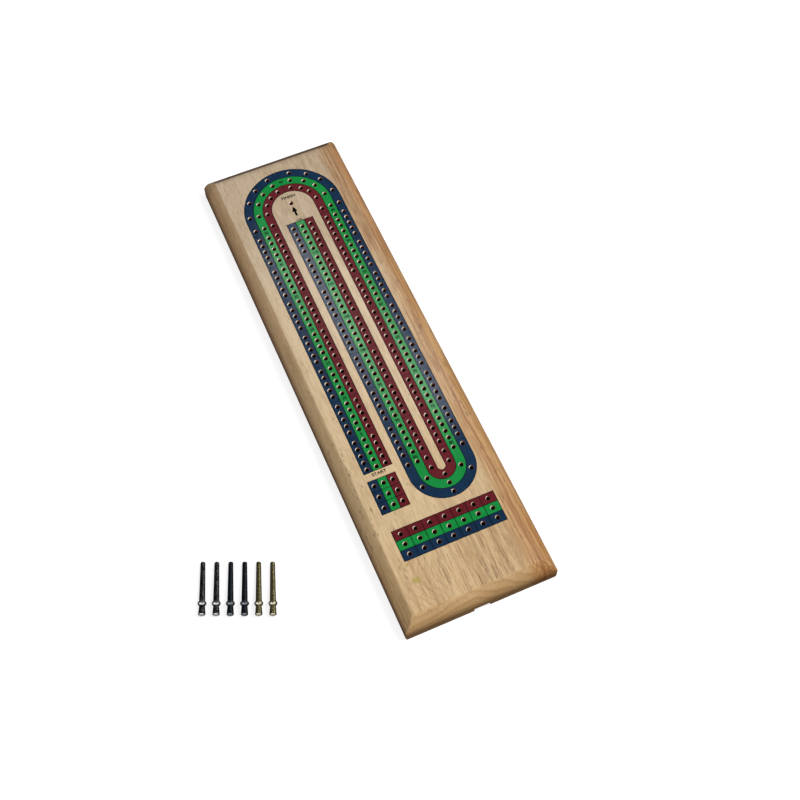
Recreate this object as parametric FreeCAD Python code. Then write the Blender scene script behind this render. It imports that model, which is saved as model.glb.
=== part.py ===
import FreeCAD, Part
import math
import os

# Three-track cribbage board: a bevelled hardwood block with drilled peg holes, printed colour
# lanes, a routed peg store closed by a sliding lid underneath, and six turned metal pegs that
# lie on the table beside it.
#
# Millimetres. The origin is the centre of the flat underside. +X is to the player's right,
# +Y points to the finish end, +Z is up.

# ---- board blank ----
board_length = 363.8
board_width = 101.6
board_thick = 19.0
edge_height = 8.0        # height of the upright edge below the bevel
bevel_run = 7.6          # how far the bevel reaches in over the top
side_bulge = 1.0         # how far the bevels bow out from a straight chamfer
end_bulge = 1.6          # the ends are sanded rounder than the sides
corner_round = 1.2       # softening of the upright corners and their mitres
rim_round = 1.4          # softening where the bevel meets the top

# ---- peg holes ----
hole_radius = 1.6
hole_depth = 8.0         # straight wall, above the drill point
drill_point = 0.9        # height of the conical end
hole_pitch = 5.08        # along a lane, inside a group of five
group_size = 5
group_count = 7
group_period = 28.42     # from one group of five to the next
first_row_y = 114.3      # hole row nearest the finish end on the straight legs

# ---- printed lanes ----
lane_pitch = 6.45        # from one lane's holes to the next lane's
line_width = 0.45        # black outline between and around lanes
print_depth = 0.25       # black ground and colour together
colour_depth = 0.1
leg_spacing = 25.0       # left leg, middle leg and right leg
top_bend_y = 131.1       # centre of the bend round the finish
low_bend_y = -92.7       # centre of the bend round the gap between right and middle legs
left_leg_end_y = -79.3
middle_leg_end_y = 119.55
bend_row_y = 123.0       # the bend's first and last holes, still on the straight
top_bend_angles = (15.3, 37.9, 58.7, 82.9)
low_row_y = -83.9        # the low bend's first and last holes
low_bend_angles = {1: 62.4, 0: 69.5}   # blue and green lanes
red_turn_y = -91.3       # the red lane's second hole, level with the bend's centre
finish_y = 135.9

# ---- start and games blocks: columns, rows, cell size, centre ----
start_cells = (3, 3, 6.3, 8.0, -25.4, -96.8)
games_cells = (7, 3, 9.86, 6.98, 0.15, -131.7)

# ---- peg store and its sliding lid ----
slot_width = 10.7        # at the underside
slot_undercut = 0.35     # dovetail, per side, at the slot's ceiling
slot_height = 3.4
slot_far_y = -54.9
store_width = 10.4
store_ceiling = 9.0
store_near_y = -169.9
store_far_y = -60.9
store_overlap = 0.5      # how far the pocket's cut starts inside the slot
lid_clearance = 0.08     # per side
lid_bottom = 0.35
lid_top = 3.15
lid_setback = 6.0        # leaves a finger notch in the end face
lid_end_gap = 0.6
grip_radius = 4.0        # thumb grooves across the lid
grip_depth = 0.7
grip_pitch = 4.5
grip_count = 3

# ---- pegs ----
peg_length = 34.7
peg_tip_radius = 1.5
peg_tip_chamfer = 0.35
peg_shank_radius = 1.9
peg_bead_at = 27.1       # centre of the bead, from the tip
peg_bead_radius = 2.75
peg_bead_half = 1.9      # half the bead's length along the peg
peg_neck_radius = 1.8
peg_head_radius = 2.25
peg_head_chamfer = 0.45
peg_names = ("silver_peg_1", "silver_peg_2", "black_peg_1", "black_peg_2", "gold_peg_1", "gold_peg_2")
peg_row_start = (-146.6, -86.1)   # under the first peg's tip
peg_row_pitch = 8.65
peg_row_turn = -23.6     # direction of the row, from +X
peg_turn = 20.2          # the pegs' turn away from the board's length

# ---- worked out ----
half_length = board_length / 2
half_width = board_width / 2
print_floor = board_thick - print_depth
colour_floor = board_thick - colour_depth
track_half = 1.5 * lane_pitch + line_width / 2
lane_half = (lane_pitch - line_width) / 2
lanes = {"blue": 1, "green": 0, "red": -1}   # outward from the middle of a leg
up = FreeCAD.Vector(0, 0, 1)
overrun = 1.0            # how far a cut runs past the face it breaks through
touching = 0.1           # edges nearer than this to a line count as on it


def at(x, y, z=0.0):
    return FreeCAD.Vector(x, y, z)


def block(x0, x1, y0, y1, z0, z1):
    return Part.makeBox(x1 - x0, y1 - y0, z1 - z0, at(x0, y0, z0))


def polygon_face(points):
    return Part.Face(Part.makePolygon(points + [points[0]]))


# ---------------------------------------------------------------- board

def bevelled_section(half, bulge, lift):
    """Closed section of the blank; lift turns (across, height) into a point in space."""
    rise = board_thick - edge_height
    chord = math.hypot(rise, bevel_run)
    out = bulge * rise / chord
    over = bulge * bevel_run / chord
    mid_across = half - bevel_run / 2 + out
    mid_height = edge_height + rise / 2 + over
    inside = half - bevel_run
    right = Part.Arc(lift(half, edge_height), lift(mid_across, mid_height), lift(inside, board_thick))
    left = Part.Arc(lift(-inside, board_thick), lift(-mid_across, mid_height), lift(-half, edge_height))
    edges = [
        Part.LineSegment(lift(-half, 0), lift(half, 0)).toShape(),
        Part.LineSegment(lift(half, 0), lift(half, edge_height)).toShape(),
        right.toShape(),
        Part.LineSegment(lift(inside, board_thick), lift(-inside, board_thick)).toShape(),
        left.toShape(),
        Part.LineSegment(lift(-half, edge_height), lift(-half, 0)).toShape(),
    ]
    return Part.Face(Part.Wire(edges))


def corner_edges(shape):
    """The four upright corners and the four mitres above them."""
    found = []
    for edge in shape.Edges:
        ends = [v.Point for v in edge.Vertexes]
        rises = abs(ends[0].z - ends[1].z) > touching
        near_corner = all(abs(p.x) > half_width - bevel_run - touching for p in ends)
        near_end = all(abs(p.y) > half_length - bevel_run - touching for p in ends)
        if rises and near_corner and near_end:
            found.append(edge)
    return found


def rim_edges(shape):
    """The outline of the flat top."""
    return [e for e in shape.Edges if all(abs(v.Point.z - board_thick) < touching for v in e.Vertexes)]


def board_blank():
    """Two bevelled bars crossed, which mitres the bevels at the corners."""
    along = bevelled_section(half_width, side_bulge, lambda a, z: at(a, -half_length, z))
    along = along.extrude(at(0, board_length, 0))
    across = bevelled_section(half_length, end_bulge, lambda a, z: at(-half_width, a, z))
    across = across.extrude(at(board_width, 0, 0))
    blank = along.common(across).removeSplitter()
    blank = blank.makeFillet(corner_round, corner_edges(blank))
    return blank.makeFillet(rim_round, rim_edges(blank))


# ---------------------------------------------------------------- peg holes

def drill(x, y):
    wall = Part.makeCylinder(hole_radius, hole_depth, at(x, y, board_thick - hole_depth))
    point = Part.makeCone(hole_radius, 0, drill_point, at(x, y, board_thick - hole_depth), -up)
    return wall.fuse(point)


def leg_holes():
    """Seven groups of five on each of three legs, three lanes wide."""
    found = []
    for leg in (-leg_spacing, 0.0, leg_spacing):
        for lane in lanes.values():
            for group in range(group_count):
                for row in range(group_size):
                    y = first_row_y - group * group_period - row * hole_pitch
                    found.append((leg + lane * lane_pitch, y))
    return found


def top_bend_holes():
    found = []
    for lane in lanes.values():
        radius = leg_spacing + lane * lane_pitch
        for side in (-1, 1):
            found.append((side * radius, bend_row_y))
            for angle in top_bend_angles:
                turn = math.radians(angle)
                found.append((side * radius * math.sin(turn), top_bend_y + radius * math.cos(turn)))
    return found


def low_bend_holes():
    centre_x = leg_spacing / 2
    found = []
    for lane in lanes.values():
        radius = centre_x + lane * lane_pitch
        found.append((centre_x, low_bend_y - radius))
        for side in (-1, 1):
            found.append((centre_x + side * radius, low_row_y))
            if lane in low_bend_angles:
                turn = math.radians(low_bend_angles[lane])
                reach = side * radius * math.sin(turn)
                found.append((centre_x + reach, low_bend_y - radius * math.cos(turn)))
            else:
                found.append((centre_x + side * radius, red_turn_y))
    return found


def cell_centres(cells):
    """Rows of (x, y) centres, from the top row down."""
    columns, rows, wide, tall, centre_x, centre_y = cells
    table = []
    for row in range(rows):
        y = centre_y + ((rows - 1) / 2 - row) * tall
        table.append([(centre_x + (column - (columns - 1) / 2) * wide, y) for column in range(columns)])
    return table


def all_holes():
    places = leg_holes() + top_bend_holes() + low_bend_holes() + [(0.0, finish_y)]
    for cells in (start_cells, games_cells):
        for row in cell_centres(cells):
            places += row
    return places


# ---------------------------------------------------------------- printed layers

def lane_face(inner, outer, end_gap, z):
    """The band of the track between two distances outward from the middle of its legs.

    It runs up the left leg, round the top bend, down the right leg, round the low bend and up
    the middle leg.
    """
    low_x = leg_spacing / 2
    low_end = left_leg_end_y + end_gap
    high_end = middle_leg_end_y - end_gap

    def side(offset):
        top = leg_spacing + offset
        low = low_x + offset
        corners = [
            at(-top, low_end, z), at(-top, top_bend_y, z), at(0, top_bend_y + top, z), at(top, top_bend_y, z),
            at(top, low_bend_y, z), at(low_x, low_bend_y - low, z), at(-offset, low_bend_y, z),
            at(-offset, high_end, z),
        ]
        return corners

    def edges(p):
        return [
            Part.LineSegment(p[0], p[1]).toShape(),
            Part.Arc(p[1], p[2], p[3]).toShape(),
            Part.LineSegment(p[3], p[4]).toShape(),
            Part.Arc(p[4], p[5], p[6]).toShape(),
            Part.LineSegment(p[6], p[7]).toShape(),
        ]

    far = side(outer)
    near = side(inner)
    caps = [
        Part.LineSegment(far[-1], near[-1]).toShape(),
        Part.LineSegment(near[0], far[0]).toShape(),
    ]
    return Part.Face(Part.Wire(Part.__sortEdges__(edges(far) + edges(near) + caps)))


def track_ground(z0, z1):
    return lane_face(-track_half, track_half, 0.0, z0).extrude(at(0, 0, z1 - z0))


def track_lane(lane):
    middle = lane * lane_pitch
    face = lane_face(middle - lane_half, middle + lane_half, line_width, colour_floor)
    return face.extrude(at(0, 0, colour_depth))


def cell_ground(cells, z0, z1):
    columns, rows, wide, tall, x, y = cells
    half_x = (columns * wide + line_width) / 2
    half_y = (rows * tall + line_width) / 2
    return block(x - half_x, x + half_x, y - half_y, y + half_y, z0, z1)


def cell_patches(cells, centres):
    """One colour patch inside the outlines of each cell."""
    half_x = (cells[2] - line_width) / 2
    half_y = (cells[3] - line_width) / 2
    return [
        block(x - half_x, x + half_x, y - half_y, y + half_y, colour_floor, board_thick) for x, y in centres
    ]


def start_column(lane):
    column = {1: 0, 0: 1, -1: 2}[lane]
    return cell_patches(start_cells, [row[column] for row in cell_centres(start_cells)])


def games_row(lane):
    row = {-1: 0, 0: 1, 1: 2}[lane]
    return cell_patches(games_cells, cell_centres(games_cells)[row])


# ---------------------------------------------------------------- peg store

def slot_half(z):
    """Half the dovetail slot's width at a height."""
    return slot_width / 2 + slot_undercut * z / slot_height


def dovetail(y0, y1, z0, z1, gap):
    low = slot_half(z0) - gap
    high = slot_half(z1) - gap
    face = polygon_face([at(-low, y0, z0), at(low, y0, z0), at(high, y0, z1), at(-high, y0, z1)])
    return face.extrude(at(0, y1 - y0, 0))


def store_pocket():
    """Routed pocket with the round ends its cutter leaves."""
    radius = store_width / 2
    floor_z = slot_height - store_overlap
    height = store_ceiling - floor_z
    pocket = block(-radius, radius, store_near_y + radius, store_far_y - radius, floor_z, store_ceiling)
    for y in (store_near_y + radius, store_far_y - radius):
        pocket = pocket.fuse(Part.makeCylinder(radius, height, at(0, y, floor_z)))
    return pocket


def storage_lid():
    near = -half_length + lid_setback
    lid = dovetail(near, slot_far_y - lid_end_gap, lid_bottom, lid_top, lid_clearance)
    for count in range(grip_count):
        y = near + (count + 1) * grip_pitch
        groove = Part.makeCylinder(grip_radius, slot_width, at(-slot_width / 2, y, 0), at(1, 0, 0))
        groove.translate(at(0, 0, lid_bottom + grip_depth - grip_radius))
        lid = lid.cut(groove)
    return lid


# ---------------------------------------------------------------- pegs

def upright_peg():
    """Turned peg standing on its tip: tapered shank, round bead, flared head."""
    shank_end = peg_bead_at - peg_bead_half * math.sqrt(1 - (peg_shank_radius / peg_bead_radius) ** 2)
    neck_start = peg_bead_at + peg_bead_half * math.sqrt(1 - (peg_neck_radius / peg_bead_radius) ** 2)
    tip_flat = peg_tip_radius - peg_tip_chamfer
    head_flat = peg_head_radius - peg_head_chamfer
    outline = [
        at(0, 0, 0),
        at(tip_flat, 0, 0),
        at(peg_tip_radius, 0, peg_tip_chamfer),
        at(peg_shank_radius, 0, shank_end),
        at(peg_neck_radius, 0, neck_start),
        at(peg_head_radius, 0, peg_length - peg_head_chamfer),
        at(head_flat, 0, peg_length),
        at(0, 0, peg_length),
    ]
    body = polygon_face(outline).revolve(at(0, 0, 0), up, 360)
    bead = Part.makeSphere(peg_bead_radius)
    squeeze = FreeCAD.Matrix()
    squeeze.scale(FreeCAD.Vector(1, 1, peg_bead_half / peg_bead_radius))
    bead = bead.transformGeometry(squeeze)
    bead.translate(at(0, 0, peg_bead_at))
    return body.fuse(bead)


def lying_peg(place):
    """The peg rests on its bead and on the edge of its tip, head towards the near end."""
    dip = math.degrees(math.atan2(peg_bead_radius - peg_tip_radius, peg_bead_at - peg_tip_chamfer))
    peg = upright_peg()
    peg.rotate(at(0, 0, 0), FreeCAD.Vector(1, 0, 0), 90 - dip)
    peg.rotate(at(0, 0, 0), up, -peg_turn)
    row = math.radians(peg_row_turn)
    x = peg_row_start[0] + place * peg_row_pitch * math.cos(row)
    y = peg_row_start[1] + place * peg_row_pitch * math.sin(row)
    peg.translate(at(x, y, 0))
    peg.translate(at(0, 0, -peg.optimalBoundingBox(False).ZMin))
    return peg


# ---------------------------------------------------------------- whole

def make_nodes():
    drills = [drill(x, y) for x, y in all_holes()]
    grounds = {
        "track_ground": track_ground(print_floor, colour_floor),
        "start_ground": cell_ground(start_cells, print_floor, colour_floor),
        "games_ground": cell_ground(games_cells, print_floor, colour_floor),
    }
    recesses = [
        track_ground(print_floor, board_thick + overrun),
        cell_ground(start_cells, print_floor, board_thick + overrun),
        cell_ground(games_cells, print_floor, board_thick + overrun),
    ]
    underside = [dovetail(-half_length - overrun, slot_far_y, 0.0, slot_height, 0.0), store_pocket()]

    nodes = {"board_body": board_blank().cut(recesses).cut(underside).cut(drills)}
    for name, ground in grounds.items():
        nodes[name] = ground.cut(drills)
    for colour, lane in lanes.items():
        nodes["track_" + colour] = track_lane(lane).cut(drills)
        nodes["start_" + colour] = Part.makeCompound([p.cut(drills) for p in start_column(lane)])
        nodes["games_" + colour] = Part.makeCompound([p.cut(drills) for p in games_row(lane)])
    nodes["storage_lid"] = storage_lid()
    for place, name in enumerate(peg_names):
        nodes[name] = lying_peg(place)
    return nodes


def main():
    os.makedirs("parts", exist_ok=True)
    for name, shape in make_nodes().items():
        shape.exportStep("parts/" + name + ".step")
        print(name, "solids", len(shape.Solids), "volume", round(shape.Volume, 1), "valid", shape.isValid())


main()
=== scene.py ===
import math

import bpy
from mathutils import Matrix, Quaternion, Vector


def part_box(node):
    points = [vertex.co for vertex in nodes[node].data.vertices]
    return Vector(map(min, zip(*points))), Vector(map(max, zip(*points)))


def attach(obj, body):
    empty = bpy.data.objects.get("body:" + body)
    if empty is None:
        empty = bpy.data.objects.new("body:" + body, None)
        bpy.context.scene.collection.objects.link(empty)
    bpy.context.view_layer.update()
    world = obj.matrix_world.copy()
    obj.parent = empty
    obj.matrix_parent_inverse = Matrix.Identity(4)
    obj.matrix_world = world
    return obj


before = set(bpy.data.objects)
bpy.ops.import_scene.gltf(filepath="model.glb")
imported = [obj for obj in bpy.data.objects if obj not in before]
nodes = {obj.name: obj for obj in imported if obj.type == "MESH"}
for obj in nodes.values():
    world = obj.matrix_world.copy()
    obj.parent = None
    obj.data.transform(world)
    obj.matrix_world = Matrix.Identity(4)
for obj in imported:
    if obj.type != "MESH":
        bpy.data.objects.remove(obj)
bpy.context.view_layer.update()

# Three-track cribbage board. The shapes are the CAD nodes; this script gives each of them its
# material and adds the printed numbers, words, arrow and group lines, and the bare rims of the
# holes. The board's lengths are in millimetres and are turned into metres where an object is made.
# The camera, the lights and the floor are placed in metres.

metres = 0.001
to_mm = 1000.0

_, board_high = (corner * to_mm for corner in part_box("board_body"))
top = board_high.z
half_width = board_high.x
half_length = board_high.y

# driving dimensions of the board, as in the part's source
bevel_run = 7.6
edge_height = 8.0
hole_radius = 1.6
hole_depth = 8.0
drill_point = 0.9
leg_spacing = 25.0
lane_pitch = 6.45
line_width = 0.45
group_size = 5
group_count = 7
group_period = 28.42
hole_pitch = 5.08
first_row_y = 114.3
top_bend_y = 131.1
bend_row_y = 123.0
middle_leg_end_y = 119.55
left_leg_end_y = -79.3
finish_y = 135.9
peg_turn = 20.2


# ---------------------------------------------------------------- camera, lights and floor

camera_azimuth = math.radians(-22.75)
camera_elevation = math.radians(62.0)
camera_roll = math.radians(-0.95)
camera_distance = 0.8333
camera_aim = Vector((0.0113, -0.0301, 0.0))
camera_lens = 56.47
camera_sensor = 36
nearest_seen = 0.01
farthest_seen = 60

# softboxes aimed at the frame's origin: name, place and size in metres, watts, degrees of turn
softboxes = (
    ("key", (0.72, -0.22, 1.12), (0.50, 0.50), 11.4, 0),
    ("left_fill", (-0.78, -0.2, 0.92), (0.8, 0.5), 1.8, 0),
    ("right_fill", (1.1, -0.25, 0.45), (0.8, 0.5), 2.4, 0),
    ("haze", (0.306, 0.869, 1.5), (0.11, 0.50), 1.05, 39),
)

wall_light = 0.78
roof_light = 0.20
room_levels = ((0.0, 0.05), (0.04, wall_light), (0.60, wall_light), (0.78, roof_light))  # height, light
far_side_fade = (0.1, 0.9)
far_side_share = 0.15      # the room is darker beyond the finish end
backdrop_light = 0.90

floor_half_size = 20.0     # metres
floor_grey = 0.42
floor_glow = 0.75


def grey(value):
    return (value, value, value, 1)


def add_camera():
    flat = math.cos(camera_elevation)
    back = Vector((
        math.sin(camera_azimuth) * flat,
        -math.cos(camera_azimuth) * flat,
        math.sin(camera_elevation),
    ))
    data = bpy.data.cameras.new("camera")
    data.lens = camera_lens
    data.sensor_width = camera_sensor
    data.clip_start = nearest_seen
    data.clip_end = farthest_seen
    camera = bpy.data.objects.new("camera", data)
    bpy.context.scene.collection.objects.link(camera)
    camera.location = camera_aim + back * camera_distance
    level = (-back).to_track_quat("-Z", "Y")
    camera.rotation_euler = (level @ Quaternion((0, 0, 1), camera_roll)).to_euler()
    bpy.context.scene.camera = camera


def add_area_light(name, place, size, watts, turn):
    """A rectangular softbox at a place, facing the origin, turned about its own axis."""
    data = bpy.data.lights.new(name, "AREA")
    data.shape = "RECTANGLE"
    data.size, data.size_y = size
    data.energy = watts
    light = bpy.data.objects.new(name, data)
    bpy.context.scene.collection.objects.link(light)
    light.location = place
    facing = (-Vector(place)).to_track_quat("-Z", "Y")
    light.rotation_euler = (facing @ Quaternion((0, 0, 1), math.radians(turn))).to_euler()


def light_scene():
    for softbox in softboxes:
        add_area_light(*softbox)
    bpy.context.scene.world = surround()
    bpy.context.scene.view_settings.view_transform = "Standard"


def surround():
    """A pale room: brightest low on the walls, softer overhead, dark under the floor.

    Past the floor's far edge the camera sees a plain pale backdrop instead."""
    world = bpy.data.worlds.new("studio")
    world.use_nodes = True
    tree = world.node_tree
    room = tree.nodes["Background"]

    coordinates = tree.nodes.new("ShaderNodeTexCoord")
    parts = tree.nodes.new("ShaderNodeSeparateXYZ")
    ramp = tree.nodes.new("ShaderNodeValToRGB")
    while len(ramp.color_ramp.elements) < len(room_levels):
        ramp.color_ramp.elements.new(0.5)
    for element, (height, strength) in zip(ramp.color_ramp.elements, room_levels):
        element.position = height
        element.color = grey(strength)
    tree.links.new(coordinates.outputs["Generated"], parts.inputs[0])
    tree.links.new(parts.outputs["Z"], ramp.inputs["Fac"])
    tree.links.new(ramp.outputs["Color"], room.inputs["Color"])

    far_side = tree.nodes.new("ShaderNodeMapRange")
    far_side.interpolation_type = "SMOOTHSTEP"
    far_side.inputs["From Min"].default_value, far_side.inputs["From Max"].default_value = far_side_fade
    far_side.inputs["To Min"].default_value = 1.0
    far_side.inputs["To Max"].default_value = far_side_share
    tree.links.new(parts.outputs["Y"], far_side.inputs["Value"])
    tree.links.new(far_side.outputs["Result"], room.inputs["Strength"])

    backdrop = tree.nodes.new("ShaderNodeBackground")
    backdrop.inputs["Color"].default_value = grey(backdrop_light)
    ray = tree.nodes.new("ShaderNodeLightPath")
    either = tree.nodes.new("ShaderNodeMixShader")
    tree.links.new(ray.outputs["Is Camera Ray"], either.inputs["Fac"])
    tree.links.new(room.outputs["Background"], either.inputs[1])
    tree.links.new(backdrop.outputs["Background"], either.inputs[2])
    tree.links.new(either.outputs["Shader"], tree.nodes["World Output"].inputs["Surface"])
    return world


def add_floor():
    """A wide white floor that the object's own surfaces don't see."""
    half = floor_half_size
    mesh = bpy.data.meshes.new("floor")
    corners = [(-half, -half, 0), (half, -half, 0), (half, half, 0), (-half, half, 0)]
    mesh.from_pydata(corners, [], [(0, 1, 2, 3)])
    floor = bpy.data.objects.new("floor", mesh)
    bpy.context.scene.collection.objects.link(floor)
    g = Graph("floor_white")
    g.set(base=grey(floor_grey), roughness=0.9, specular=0.0, glow=grey(1), glow_strength=floor_glow)
    mesh.materials.append(g.material)
    floor.visible_diffuse = False
    floor.visible_glossy = False


# ---------------------------------------------------------------- material graphs

class Graph:
    """One material's nodes. A value is a number, a vector, a colour or another node's output."""

    sockets = {
        "base": "Base Color", "roughness": "Roughness", "metallic": "Metallic", "normal": "Normal",
        "specular": "Specular IOR Level", "coat": "Coat Weight", "coat_roughness": "Coat Roughness",
        "glow": "Emission Color", "glow_strength": "Emission Strength",
    }

    def __init__(self, name):
        self.material = bpy.data.materials.new(name)
        self.material.use_nodes = True
        self.tree = self.material.node_tree
        self.shader = self.tree.nodes["Principled BSDF"]
        coordinates = self.node("TexCoord")
        scaled = self.node("VectorMath", operation="SCALE")
        self.feed(scaled.inputs[0], coordinates.outputs["Object"])
        self.feed(scaled.inputs["Scale"], to_mm)
        self.place = scaled.outputs[0]
        self.x, self.y, self.z = self.split(self.place)
        self.facing = coordinates.outputs["Normal"]
        self.nx, self.ny, self.nz = (self.math("ABSOLUTE", part) for part in self.split(self.facing))

    def node(self, kind, **settings):
        made = self.tree.nodes.new("ShaderNode" + kind)
        for key, value in settings.items():
            setattr(made, key, value)
        return made

    def feed(self, socket, value):
        if isinstance(value, bpy.types.NodeSocket):
            self.tree.links.new(value, socket)
        else:
            socket.default_value = value

    def set(self, **values):
        for key, value in values.items():
            self.feed(self.shader.inputs[self.sockets[key]], value)

    def split(self, vector):
        made = self.node("SeparateXYZ")
        self.feed(made.inputs[0], vector)
        return made.outputs[0], made.outputs[1], made.outputs[2]

    def dot(self, a, b):
        made = self.node("VectorMath", operation="DOT_PRODUCT")
        self.feed(made.inputs[0], a)
        self.feed(made.inputs[1], b)
        return made.outputs["Value"]

    def math(self, operation, a, b=0.0, c=0.0, clamp=False):
        made = self.node("Math", operation=operation, use_clamp=clamp)
        for socket, value in zip(made.inputs, (a, b, c)):
            self.feed(socket, value)
        return made.outputs[0]

    def add(self, a, b):
        return self.math("ADD", a, b)

    def less(self, a, b):
        return self.math("SUBTRACT", a, b)

    def times(self, a, b):
        return self.math("MULTIPLY", a, b)

    def square(self, a):
        return self.times(a, a)

    def larger(self, a, b):
        return self.math("MAXIMUM", a, b)

    def fade(self, value, low, high):
        """0 at low, 1 at high, smooth between. Low may be the larger of the two."""
        made = self.node("MapRange", interpolation_type="SMOOTHSTEP")
        self.feed(made.inputs["Value"], value)
        self.feed(made.inputs["From Min"], low)
        self.feed(made.inputs["From Max"], high)
        return made.outputs["Result"]

    def stretch(self, x, y, z, offset=0.0):
        """The place with each axis divided by a length, so that patterns come out that long."""
        scaled = self.node("VectorMath", operation="MULTIPLY_ADD")
        self.feed(scaled.inputs[0], self.place)
        self.feed(scaled.inputs[1], (1 / x, 1 / y, 1 / z))
        self.feed(scaled.inputs[2], (offset, offset, offset))
        return scaled.outputs[0]

    def noise(self, x, y, z, detail=2.0, rough=0.5, offset=0.0, distortion=0.0):
        made = self.node("TexNoise")
        self.feed(made.inputs["Vector"], self.stretch(x, y, z, offset))
        self.feed(made.inputs["Scale"], 1.0)
        self.feed(made.inputs["Detail"], detail)
        self.feed(made.inputs["Roughness"], rough)
        self.feed(made.inputs["Distortion"], distortion)
        return made.outputs["Fac"]

    def sway(self, amount, x, y, z, **settings):
        """Noise that wanders about zero, amount from its least to its most."""
        return self.times(self.less(self.noise(x, y, z, **settings), 0.5), amount)

    def specks(self, x, y, z, offset=0.0):
        """Distance to the nearest of many scattered points, in cells of this size."""
        made = self.node("TexVoronoi", feature="F1")
        self.feed(made.inputs["Vector"], self.stretch(x, y, z, offset))
        self.feed(made.inputs["Scale"], 1.0)
        return made.outputs["Distance"]

    def mix(self, factor, a, b, blend="MIX"):
        made = self.node("Mix", data_type="RGBA", blend_type=blend)
        self.feed(made.inputs[0], factor)
        self.feed(made.inputs[6], a)
        self.feed(made.inputs[7], b)
        return made.outputs[2]

    def tint(self, factor, colour, filter_colour):
        """The colour as seen through a filter, as much as factor says."""
        return self.mix(factor, colour, filter_colour, "MULTIPLY")

    def bump(self, height, strength, depth_mm):
        made = self.node("Bump")
        self.feed(made.inputs["Strength"], strength)
        self.feed(made.inputs["Distance"], depth_mm * metres)
        self.feed(made.inputs["Height"], height)
        return made.outputs[0]

    def spot(self, x, y, wide, long):
        """1 at a point on the top, falling to 0 in a soft oval around it."""
        across = self.times(self.less(self.x, x), 1 / wide)
        along = self.times(self.less(self.y, y), 1 / long)
        return self.math("EXPONENT", self.times(self.add(self.square(across), self.square(along)), -1.0))


# ---------------------------------------------------------------- wood

pale_tan = (0.67, 0.50, 0.29, 1)
deep_tan = (0.44, 0.285, 0.14, 1)
orange_tan = (0.64, 0.39, 0.175, 1)
orange_shade = (0.46, 0.26, 0.10, 1)
streak_brown = (0.30, 0.125, 0.036, 1)
line_brown = (0.30, 0.20, 0.11, 1)
pore_brown = (0.14, 0.078, 0.036, 1)
long_pore_brown = (0.15, 0.070, 0.018, 1)
knot_green = (0.36, 0.32, 0.05, 1)
# bare wood at the hole rims, made pale enough to stand for painted light on their lit side
lit_bare_wood = (1.0, 0.88, 0.74, 1)
bare_shade = (0.86, 0.70, 0.54, 1)
# painted shade for the peg holes' walls and for the shaded side of their rims
hole_shade_dark = (0.055, 0.022, 0.014, 1)
hole_shade_brown = (0.20, 0.062, 0.030, 1)
near_tint = (1.00, 0.945, 0.87, 1)
far_tint = (0.84, 0.885, 1.04, 1)
far_bevel_tint = (0.92, 0.86, 0.90, 1)
end_tint = (0.93, 0.80, 0.62, 1)
# painted shade for the far bevel and the top just before it
far_end_shade_tint = (0.34, 0.32, 0.34, 1)
# the next three tints are painted shade: the lower sides, the left bevel and the left side
foot_shade_tint = (0.50, 0.42, 0.37, 1)
left_shade_tint = (1.0, 0.94, 0.86, 1)
left_side_shade_tint = (0.58, 0.49, 0.49, 1)

# how far each pattern in the wood runs across, along and down, in millimetres
drift_size = (34, 150, 34)
figure_size = (2.0, 75, 2.0)
fibre_size = (0.5, 14, 0.5)
mottle_size = (1.1, 4.5, 1.1)
broad_line_size = (1.3, 50, 1.3)
thin_line_size = (0.8, 34, 0.8)
line_patch_size = (12, 30, 12)
pore_jitter_size = (1.2, 3.0, 1.2)
pore_cluster_size = (5, 14, 5)
pore_band_size = (2.4, 60, 2.4)
short_pore_cell = (1.1, 6.5, 1.2)
long_pore_cell = (0.62, 18.0, 1.6)

# how strongly each mark covers the wood under it
band_strength = 0.85
streak_strength = 0.85
thin_line_strength = 0.7
knot_line_strength = 0.42
knot_strength = 0.65
short_pore_strength = 0.65
long_pore_strength = 0.66
end_tint_strength = 0.7
# painted shade on the top just before the far edge
far_top_shade_strength = 0.30
# painted shade on the lower sides, and a painted contact shadow along the foot
low_shade_strength = 0.8
foot_shadow_strength = 0.6

flat_x = half_width - bevel_run
flat_y = half_length - bevel_run
hole_floor = top - hole_depth

# where looks come in along the board's width and length: none at the first, whole at the second
band_fade = (30.0, 40.0)
left_pore_fade = (-18.0, -34.0)
left_pore_end = (60.0, -50.0)
near_grain_fade = (-110.0, -150.0)
near_tint_fade = (-100.0, -165.0)
far_tint_fade = (-80.0, 165.0)
# where the painted shade on the far bevel and on the top before it comes in
far_bevel_shade_fade = (flat_y - 1.1, flat_y - 0.3)
far_top_shade_fade = (flat_y - 4.5, flat_y - 0.5)
long_pore_start = (-128.0, -146.0)
long_pore_left = (-27.0, -16.0)
long_pore_right = (40.0, 24.0)

ring_centre_x = -14.0
ring_centre_z = -95.0
ring_pitch = 4.2
ring_wander = 15.0
ring_wander_size = (24, 120, 24)
ring_strength = 0.18
end_ring_strength = 0.25   # more, where the rings are cut across

knots = ((-32.6, -155.8, 2.6, 2.1), (-34.0, -144.6, 1.1, 1.0))   # x, y, half width, half length
knot_line_pitch = 4.2
knot_line_half_width = 0.28
knot_bend_slope = 0.62
knot_bend_blunt = 5.0

main_line_x = 41.6
main_line_end = (60.0, -40.0)


def ring_tone(g):
    """Growth rings round an axis below the board: soft bands on the top, arcs on the ends."""
    wander = g.sway(ring_wander, *ring_wander_size, detail=3)
    across = g.less(g.x, ring_centre_x)
    height = g.less(g.z, ring_centre_z)
    reach = g.math("SQRT", g.add(g.square(across), g.square(height)))
    phase = g.math("FRACT", g.times(g.add(reach, wander), 1 / ring_pitch))
    return g.times(g.fade(phase, 0.35, 0.93), g.fade(phase, 1.0, 0.94))


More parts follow.
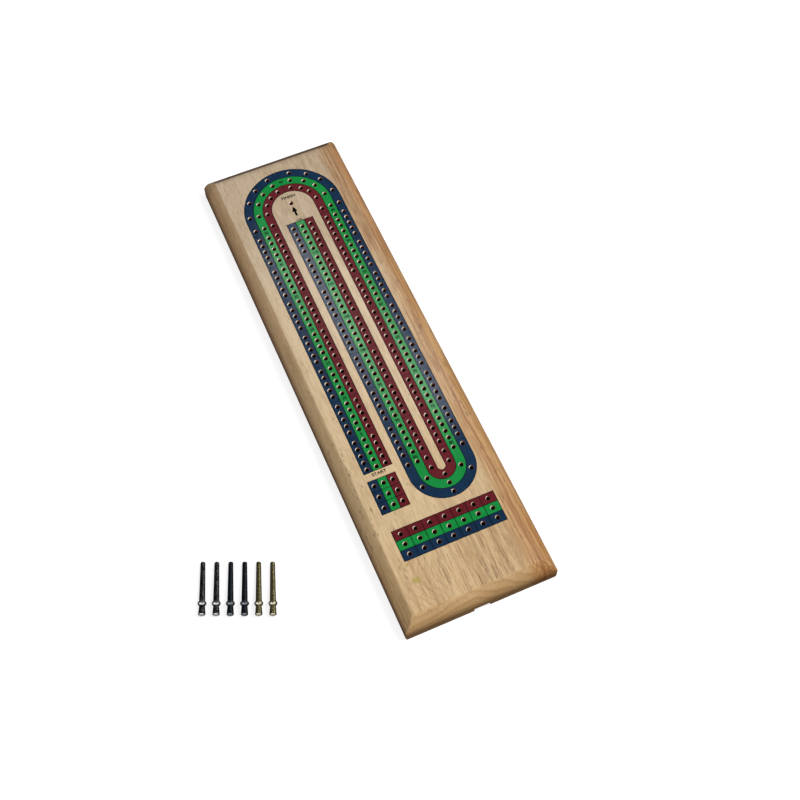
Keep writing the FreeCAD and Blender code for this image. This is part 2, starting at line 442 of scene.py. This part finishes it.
def knot_lines(g):
    """Thin lines of grain that bend round the larger knot."""
    x, y = knots[0][:2]
    rise = g.less(g.y, y)
    bend = g.math("SQRT", g.add(g.square(rise), knot_bend_blunt ** 2))
    offset = g.less(g.less(g.x, x), g.times(g.less(bend, knot_bend_blunt), knot_bend_slope))
    offset = g.add(offset, g.sway(5.0, 8, 16, 8, offset=4.0))
    phase = g.math("FRACT", g.times(offset, 1 / knot_line_pitch))
    distance = g.times(g.math("ABSOLUTE", g.less(phase, 0.5)), knot_line_pitch)
    line = g.fade(distance, knot_line_half_width * 2, knot_line_half_width * 0.4)
    return g.times(line, g.fade(g.spot(x + 5, y - 3, 17, 22), 0.25, 0.75))


def right_edge(g):
    """The warm band along the right edge, and the uneven brown lines in it."""
    band = g.fade(g.add(g.x, g.sway(12.0, 30, 70, 30, offset=9.0)), *band_fade)

    broad = g.noise(*broad_line_size, detail=4, rough=0.6, offset=7.3, distortion=0.35)
    patches = g.fade(g.noise(*line_patch_size, offset=2.7), 0.30, 0.50)
    broad = g.times(g.times(band, g.fade(broad, 0.43, 0.55)), patches)
    thin = g.noise(*thin_line_size, detail=3, rough=0.6, offset=4.9, distortion=0.3)
    thin = g.times(g.times(band, g.fade(thin, 0.50, 0.62)), thin_line_strength)

    wave = g.add(g.sway(6.0, 40, 30, 40, offset=1.7), g.sway(1.6, 9, 9, 9, offset=6.7))
    away = g.less(g.less(g.x, main_line_x), wave)
    main_line = g.math("EXPONENT", g.times(g.square(away), -0.8))
    main_line = g.times(main_line, g.fade(g.noise(30, 16, 30, offset=5.5), 0.25, 0.42))
    main_line = g.times(main_line, g.fade(g.y, *main_line_end))
    return band, g.larger(g.times(g.larger(broad, thin), 0.85), main_line)


def pores(g):
    """Open pores as dark dashes: short ones in loose clusters, long ones near the near end."""
    jitter = g.sway(0.35, *pore_jitter_size, offset=2.2)

    left = g.times(g.fade(g.x, *left_pore_fade), g.fade(g.y, *left_pore_end))
    coarser = g.larger(left, g.fade(g.x, *band_fade))
    clusters = g.fade(g.noise(*pore_cluster_size, offset=3.1), 0.46, 0.64)
    clusters = g.times(clusters, g.add(g.times(coarser, 0.45), 0.55))
    reach = g.add(g.specks(*short_pore_cell), jitter)
    short = g.fade(g.less(g.times(clusters, 0.36), reach), 0.0, 0.10)
    short = g.times(short, g.fade(g.ny, 0.85, 0.25))

    near = g.times(g.fade(g.y, *long_pore_start), g.fade(g.x, *long_pore_left))
    near = g.times(near, g.times(g.fade(g.x, *long_pore_right), g.fade(g.ny, 0.75, 0.15)))
    streaks = g.times(near, g.fade(g.noise(*pore_band_size, offset=8.8), 0.36, 0.60))
    reach = g.add(g.specks(*long_pore_cell, offset=11.7), jitter)
    long = g.fade(g.less(g.times(streaks, 0.46), reach), 0.0, 0.10)
    return short, g.larger(long, g.times(streaks, 0.17))


def grain(g, fibre, end_grain, long_grain):
    """The wood's own colour, from pale to deep: rings, figure, fibre and mottle."""
    near = g.fade(g.y, *near_grain_fade)
    drift = g.noise(*drift_size)
    figure = g.noise(*figure_size, detail=4, rough=0.55, offset=6.1)
    mottle = g.noise(*mottle_size, detail=3, rough=0.6, offset=3.3)

    rings = g.times(ring_tone(g), g.add(g.times(end_grain, end_ring_strength), ring_strength))
    tone = g.add(g.less(drift, 0.5), rings)
    for pattern, strength in (
        (figure, g.add(g.times(near, 1.1), 1.0)),
        (fibre, g.add(g.times(near, 0.6), 1.5)),
        (mottle, 1.2),
    ):
        tone = g.add(tone, g.times(g.times(g.less(pattern, 0.5), strength), long_grain))
    tone = g.add(tone, g.times(near, 0.10))
    return g.mix(g.math("ADD", tone, 0.26, clamp=True), pale_tan, deep_tan)


def marked(g, colour, fibre, short, long):
    """The grain with its warm band, brown lines, knots and pores."""
    band, streaks = right_edge(g)
    warm = g.mix(g.fade(fibre, 0.35, 0.65), orange_tan, orange_shade)
    colour = g.mix(g.times(band, band_strength), colour, warm)
    colour = g.mix(g.times(streaks, streak_strength), colour, streak_brown)
    colour = g.mix(g.times(knot_lines(g), knot_line_strength), colour, line_brown)
    for knot in knots:
        spot = g.fade(g.spot(*knot), 0.1, 0.8)
        colour = g.mix(g.times(spot, knot_strength), colour, knot_green)
    colour = g.mix(g.times(short, short_pore_strength), colour, pore_brown)
    return g.mix(g.times(long, long_pore_strength), colour, long_pore_brown)


def along_tints(g, colour, end_grain):
    """Warmer towards the near end, cooler towards the far end, darker on the end grain, and painted shade
    on the far bevel and, more lightly, on the top just before it.
    """
    colour = g.tint(g.fade(g.y, *near_tint_fade), colour, near_tint)
    far_shift = g.mix(g.fade(g.nz, 0.7, 0.95), far_bevel_tint, far_tint)
    colour = g.tint(g.fade(g.y, *far_tint_fade), colour, far_shift)
    colour = g.tint(g.times(end_grain, end_tint_strength), colour, end_tint)
    # painted shade on the far bevel and, more lightly, on the top just before it, kept off the side bevels
    far_bevel_shade_mask = g.times(g.fade(g.y, *far_bevel_shade_fade), g.fade(g.nx, 0.5, 0.2))
    far_top_shade_mask = g.times(g.fade(g.y, *far_top_shade_fade), far_top_shade_strength)
    far_shade_mask = g.times(g.larger(far_bevel_shade_mask, far_top_shade_mask), g.fade(g.nz, 0.15, 0.50))
    return g.tint(far_shade_mask, colour, far_end_shade_tint)


def side_tints(g, colour, end_grain):
    """Painted shade: a darker left side, sides that darken towards the foot, and a painted contact shadow
    along the foot.
    """
    leftward = g.split(g.facing)[0]
    # painted shade on the left bevel and, darker, on the left side
    colour = g.tint(g.fade(leftward, -0.3, -0.8), colour, left_shade_tint)
    colour = g.tint(g.fade(leftward, -0.86, -0.98), colour, left_side_shade_tint)
    # painted shade on the sides, darkening down towards the foot, starting higher on the end grain
    side = g.less(1.0, g.fade(g.nz, 0.35, 0.75))
    low_from = g.add(edge_height + 2.0, g.times(end_grain, 4.0))
    low = g.times(side, g.fade(g.z, low_from, edge_height - 2.5))
    colour = g.tint(g.times(low, low_shade_strength), colour, foot_shade_tint)
    # a painted contact shadow along the foot, in the pores' brown
    foot = g.times(g.fade(g.z, 1.6, 0.3), g.fade(g.nz, 0.3, 0.1))
    return g.mix(g.times(foot, foot_shadow_strength), colour, pore_brown)


def hole_walls(g, colour):
    """Painted shade in the peg holes: dark down the walls, browner near the top."""
    inside = g.times(g.math("LESS_THAN", g.math("ABSOLUTE", g.x), flat_x - 1),
                     g.math("LESS_THAN", g.math("ABSOLUTE", g.y), flat_y - 1))
    # painted shade from just under the top down to the drill point
    deep = g.times(g.fade(g.z, top - 0.02, top - 0.1), g.fade(g.z, hole_floor - 1.5, hole_floor - 1.2))
    wall_shade = g.mix(g.fade(g.z, top - 3.0, top - 0.5), hole_shade_dark, hole_shade_brown)
    return g.mix(g.times(inside, deep), colour, wall_shade)


def wood(name, varnish=1.0):
    """Pale hardwood under a clear varnish that is glossiest on the flat top."""
    g = Graph(name)
    end_grain = g.fade(g.ny, 0.25, 0.85)
    long_grain = g.less(1.0, g.times(end_grain, 0.75))
    fibre = g.noise(*fibre_size, detail=3, rough=0.6)
    short, long = pores(g)

    colour = grain(g, fibre, end_grain, long_grain)
    colour = marked(g, colour, fibre, short, long)
    colour = along_tints(g, colour, end_grain)
    colour = side_tints(g, colour, end_grain)
    colour = hole_walls(g, colour)

    height = g.less(g.times(g.times(fibre, 0.35), long_grain), g.larger(short, long))
    rough = g.add(0.40, g.times(g.noise(3, 22, 3, offset=5.0), 0.12))
    gloss = g.add(0.1, g.times(g.fade(g.nz, 0.965, 0.995), 0.7))
    g.set(base=colour, roughness=rough, specular=0.4)
    g.set(normal=g.bump(height, strength=0.5, depth_mm=0.06))
    g.set(coat=g.times(gloss, varnish), coat_roughness=0.17)
    return g.material


def bare_rim():
    """Bare wood at a hole's edge: pale with painted light where it faces the key light, brown with painted
    shade on the other side.
    """
    g = Graph("rim_wood")
    across, along, _ = g.split(g.facing)
    # painted light and shade by facing: pale towards +X and -Y, shade brown away from it
    lit_side = g.fade(g.less(across, along), 0.40, 1.05)
    fibre = g.noise(0.5, 1.4, 0.5, detail=3, rough=0.6)
    pale = g.mix(g.fade(fibre, 0.35, 0.65), lit_bare_wood, bare_shade)
    g.set(base=g.mix(lit_side, hole_shade_brown, pale), roughness=0.75, specular=0.2)
    g.set(normal=g.bump(fibre, strength=0.4, depth_mm=0.05))
    return g.material


# ---------------------------------------------------------------- inks

def ink(name, colour, shade, roughness, specular):
    """Screen-printed ink over varnish: slight mottle, and the wood's pores just telling through."""
    g = Graph(name)
    mottle = g.noise(1.2, 6.0, 1.2, detail=4, rough=0.65)
    cloud = g.sway(0.6, 12, 30, 12, offset=2.0)
    base = g.mix(g.fade(g.add(mottle, cloud), 0.25, 0.8), colour, shade)
    dashes = g.larger(*pores(g))
    base = g.mix(g.times(dashes, 0.35), base, grey(0.01))
    rough = g.add(roughness, g.times(g.less(mottle, 0.5), 0.08))
    height = g.less(g.times(mottle, 0.5), dashes)
    g.set(base=base, roughness=rough, specular=specular)
    g.set(normal=g.bump(height, strength=0.45, depth_mm=0.03))
    return g.material


# ---------------------------------------------------------------- metals

def peg_metal(name, bright, dull, polished, roughness):
    """Turned, plated metal: fine lathe rings, a mottle of tarnished spots and painted glints, a painted
    highlight on the bead's flanks, and a painted reflection on the flat ends, which are less metallic.
    """
    g = Graph(name)
    turn = math.radians(-peg_turn)
    axis = (math.sin(turn), -math.cos(turn), 0.0)
    rings = g.node("TexNoise", noise_dimensions="1D")
    g.feed(rings.inputs["W"], g.dot(g.place, axis))
    g.feed(rings.inputs["Scale"], 3.0)
    g.feed(rings.inputs["Detail"], 4.0)
    # mottle that is partly tarnished spots and partly painted glints
    tarnish_and_glints = g.noise(0.45, 0.8, 0.45, detail=3, rough=0.6)
    tilt = g.math("ABSOLUTE", g.dot(g.facing, axis))
    base = g.mix(g.fade(tarnish_and_glints, 0.50, 0.66), dull, bright)
    # painted highlight on the bead's flanks
    base = g.mix(g.fade(tilt, 0.12, 0.45), base, polished)
    # painted reflection on the flat ends: less metallic, so they show a pale base
    end_reflection = g.fade(tilt, 0.90, 0.97)
    rough = g.add(roughness, g.times(tarnish_and_glints, 0.18))
    g.set(base=base, metallic=g.less(1.0, g.times(end_reflection, 0.8)), roughness=rough)
    g.set(normal=g.bump(rings.outputs["Fac"], strength=0.35, depth_mm=0.03))
    return g.material


# ---------------------------------------------------------------- printed marks

mark_low = top - 0.01
mark_high = top + 0.02
number_height = 2.2
number_stretch = 0.95
start_word_height = 2.1
start_word_stretch = 1.15
start_word_place = (-25.3, left_leg_end_y - 2.2)
finish_word_height = 2.31
finish_word_stretch = 1.1
finish_word_place = (0.2, finish_y + 5.8)
tick_width = 0.25
stroke_gain = 0.09         # thickens the letters' strokes
font_cap_share = 0.72      # height of a capital, as a share of the font size


def text_outline(words, height, wide, place):
    """Letters as a flat curve, centred on a place on the top."""
    curve = bpy.data.curves.new(words, "FONT")
    curve.body = words
    curve.size = height / font_cap_share * metres
    curve.align_x = "CENTER"
    curve.align_y = "CENTER"
    curve.extrude = (mark_high - mark_low) / 2 * metres
    curve.offset = stroke_gain * metres
    curve.resolution_u = 3
    text = bpy.data.objects.new(words, curve)
    text.scale.x = wide
    text.location = Vector((place[0], place[1], (mark_low + mark_high) / 2)) * metres
    bpy.context.scene.collection.objects.link(text)
    return text


def merge(name, objects):
    """One mesh from several text or mesh objects, with their places applied."""
    bpy.context.view_layer.update()
    graph = bpy.context.evaluated_depsgraph_get()
    points, faces = [], []
    for item in objects:
        mesh = bpy.data.meshes.new_from_object(item.evaluated_get(graph))
        start = len(points)
        points += [item.matrix_world @ v.co for v in mesh.vertices]
        faces += [[start + i for i in polygon.vertices] for polygon in mesh.polygons]
        bpy.data.objects.remove(item)
    mesh = bpy.data.meshes.new(name)
    mesh.from_pydata(points, [], faces)
    add_mark(name, mesh)


def add_mark(name, mesh):
    """A piece of black print that stays with the board."""
    mark = bpy.data.objects.new(name, mesh)
    bpy.context.scene.collection.objects.link(mark)
    mesh.materials.append(black_print)
    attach(mark, "board")


def prism(name, outlines):
    """Flat shapes with a printed layer's thickness, from outlines given anticlockwise."""
    points, faces = [], []
    for outline in outlines:
        count = len(outline)
        start = len(points)
        points += [Vector((x, y, mark_low)) * metres for x, y in outline]
        points += [Vector((x, y, mark_high)) * metres for x, y in outline]
        low = [start + i for i in range(count)]
        high = [start + count + i for i in range(count)]
        faces += [low[::-1], high]
        for i in range(count):
            j = (i + 1) % count
            faces.append([low[i], low[j], high[j], high[i]])
    mesh = bpy.data.meshes.new(name)
    mesh.from_pydata(points, [], faces)
    add_mark(name, mesh)


def group_gaps():
    """The middles of the gaps between groups of five on a leg, from the finish end down."""
    group_length = (group_size - 1) * hole_pitch
    first = first_row_y - group_length - (group_period - group_length) / 2
    return [first - group * group_period for group in range(group_count - 1)]


def leg_levels():
    """The gap above a leg's first group, those between its groups, and the one below its last."""
    gaps = group_gaps()
    return (bend_row_y + first_row_y) / 2, gaps, gaps[-1] - group_period


def lane_numbers():
    """Counts of five: up the left leg, down the right leg, up the middle leg."""
    top_gap, gaps, low_gap = leg_levels()
    left = gaps[::-1] + [top_gap]
    right = [top_gap] + gaps + [low_gap]
    middle = [low_gap] + gaps[::-1]
    places = [(-leg_spacing, y) for y in left] + [(0.0, top_bend_y + leg_spacing)]
    places += [(leg_spacing, y) for y in right] + [(0.0, y) for y in middle]
    places.append((0.0, middle_leg_end_y + 0.5))
    texts = [
        text_outline(str(group_size * (i + 1)), number_height, number_stretch, place)
        for i, place in enumerate(places)
    ]
    merge("lane_numbers", texts)


def lane_ticks():
    """Lines that part the groups of five on the two outer lanes of each leg."""
    top_gap, gaps, low_gap = leg_levels()
    legs = (
        (-leg_spacing, [top_gap] + gaps),
        (0.0, gaps + [low_gap]),
        (leg_spacing, [top_gap] + gaps + [low_gap]),
    )
    half_long = (lane_pitch - line_width) / 2
    half_wide = tick_width / 2
    outlines = []
    for leg, levels in legs:
        for x in (leg - lane_pitch, leg + lane_pitch):
            outlines += [box_outline(x, y, half_long, half_wide) for y in levels]
    bend = top_bend_y + leg_spacing
    for y in (bend - lane_pitch, bend + lane_pitch):
        outlines.append(box_outline(0.0, y, half_wide, half_long))
    prism("lane_ticks", outlines)


def box_outline(x, y, half_x, half_y):
    return [
        (x - half_x, y - half_y),
        (x + half_x, y - half_y),
        (x + half_x, y + half_y),
        (x - half_x, y + half_y),
    ]


def start_word():
    letters = text_outline("START", start_word_height, start_word_stretch, start_word_place)
    merge("start_word", [letters])


def finish_word():
    letters = text_outline("FINISH", finish_word_height, finish_word_stretch, finish_word_place)
    merge("finish_word", [letters])


def finish_arrow():
    """An arrow that points from the last group of the middle leg to the finish hole."""
    tip, neck, tail = finish_y - 3.0, finish_y - 7.6, finish_y - 11.6
    head, stem = 1.9, 0.75
    left_side = [(0, tip), (-head, neck), (-stem, neck), (-stem, tail)]
    right_side = [(-x, y) for x, y in left_side[:0:-1]]
    prism("finish_arrow", [left_side + right_side])


# ---------------------------------------------------------------- hole rims

rim_depth = 0.6
rim_inner_radius = 1.3
rim_outer_radius = hole_radius + 0.05
rim_sides = 24
rim_crease = math.radians(40)
rim_drop = 0.01            # how far the ring stays under the top


def hole_middles():
    """The middle of every peg hole: under the flat top, the mesh has a corner at each drill point."""
    low = top - hole_depth - drill_point
    corners = [vertex.co * to_mm for vertex in nodes["board_body"].data.vertices]
    return sorted({
        (round(x, 2), round(y, 2)) for x, y, z in corners
        if abs(z - low) < 0.01 and abs(x) < flat_x and abs(y) < flat_y
    })


def hole_rims():
    """A thin tapered ring of bare wood just inside the edge of every hole."""
    section = (
        (rim_outer_radius, top - rim_drop),
        (rim_inner_radius, top - rim_depth),
        (rim_outer_radius, top - rim_depth),
    )
    corners = len(section)
    points, faces = [], []
    for x, y in hole_middles():
        start = len(points)
        for i in range(rim_sides):
            angle = 2 * math.pi * i / rim_sides
            for radius, z in section:
                place = (x + radius * math.cos(angle), y + radius * math.sin(angle), z)
                points.append(Vector(place) * metres)
        for i in range(rim_sides):
            a = start + corners * i
            b = start + corners * ((i + 1) % rim_sides)
            faces += [[a + j, b + j, b + (j + 1) % corners, a + (j + 1) % corners] for j in range(corners)]
    mesh = bpy.data.meshes.new("hole_rims")
    mesh.from_pydata(points, [], faces)
    mesh.shade_smooth()
    mesh.set_sharp_from_angle(angle=rim_crease)
    mesh.materials.append(bare_rim())
    rims = bpy.data.objects.new("hole_rims", mesh)
    bpy.context.scene.collection.objects.link(rims)
    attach(rims, "board")


# ---------------------------------------------------------------- whole

# each ink's colour and its lighter mottle, and each metal's bright, dull and painted bead highlight
# colours
black_inks = grey(0.002), grey(0.004)
blue_inks = (0.004, 0.021, 0.055, 1), (0.006, 0.030, 0.075, 1)
green_inks = (0.003, 0.215, 0.038, 1), (0.008, 0.26, 0.052, 1)
red_inks = (0.105, 0.010, 0.014, 1), (0.13, 0.014, 0.021, 1)
# silver: the near-black dull tone is a painted dark reflection, and the bright tone partly painted glints
silver_tones = grey(0.28), grey(0.004), grey(0.92)
black_tones = (0.03, 0.035, 0.045, 1), (0.014, 0.017, 0.02, 1), (0.30, 0.32, 0.37, 1)
gold_tones = (0.44, 0.38, 0.18, 1), (0.13, 0.11, 0.05, 1), (0.95, 0.88, 0.68, 1)

black_print = ink("black_ink", *black_inks, roughness=0.5, specular=0.04)
looks = {
    "board_body": wood("board_wood"),
    "storage_lid": wood("lid_wood", varnish=0.3),
    "_ground": black_print,
    "_blue": ink("blue_ink", *blue_inks, roughness=0.12, specular=0.3),
    "_green": ink("green_ink", *green_inks, roughness=0.12, specular=0.3),
    "_red": ink("red_ink", *red_inks, roughness=0.20, specular=0.1),
    "silver_peg": peg_metal("silver_plate", *silver_tones, roughness=0.08),
    "black_peg": peg_metal("black_plate", *black_tones, roughness=0.2),
    "gold_peg": peg_metal("gold_plate", *gold_tones, roughness=0.1),
}


def dress(node_name):
    """Gives a CAD node the material whose key is in its name."""
    for part, material in looks.items():
        if part in node_name:
            materials = nodes[node_name].data.materials
            materials.clear()
            materials.append(material)


add_camera()
light_scene()
add_floor()
for node_name in nodes:
    dress(node_name)
lane_numbers()
lane_ticks()
start_word()
finish_word()
finish_arrow()
hole_rims()
